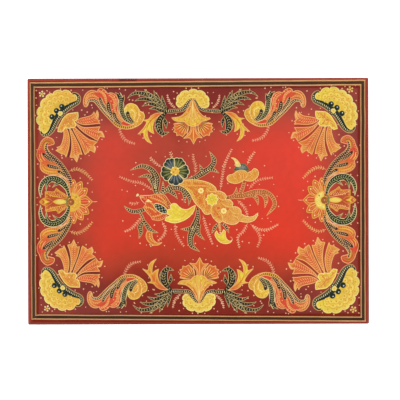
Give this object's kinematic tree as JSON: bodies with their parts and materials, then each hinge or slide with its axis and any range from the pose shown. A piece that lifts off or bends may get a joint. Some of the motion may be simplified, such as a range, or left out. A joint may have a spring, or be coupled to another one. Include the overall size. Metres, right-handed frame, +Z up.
{
  "type": "painted serving tray",
  "caption": "Rectangular sheet-steel serving tray with a low flared wire-rolled rim, red lacquer, a gold-ruled dark border and a hand-painted floral ornament.",
  "frame": {"origin": "on the table, under the middle of the tray's flat floor", "axes": "+X along the tray's length to the right, +Y along its width to the back, +Z up out of the tray"},
  "size_m": [0.46, 0.332, 0.014],
  "materials": {
    "back_lacquer": "gloss black lacquer over steel",
    "wire_steel": "plain drawn wire",
    "seam_solder": "solder under black lacquer",
    "red_lacquer": "gloss red lacquer",
    "border_black": "gloss brown-black paint",
    "gold_paint": "pale gold paint under varnish",
    "ornament_paint": "oil paint under clear varnish"
  },
  "bodies": {
    "root": {"tray_pan": "back_lacquer", "rim_wire": "wire_steel", "corner_seam_front_left": "seam_solder", "corner_seam_front_right": "seam_solder", "corner_seam_back_left": "seam_solder", "corner_seam_back_right": "seam_solder", "ground_coat": "red_lacquer", "border_band": "border_black", "outer_gold_line": "gold_paint", "inner_gold_line": "gold_paint"}
  },
  "joints": []
}
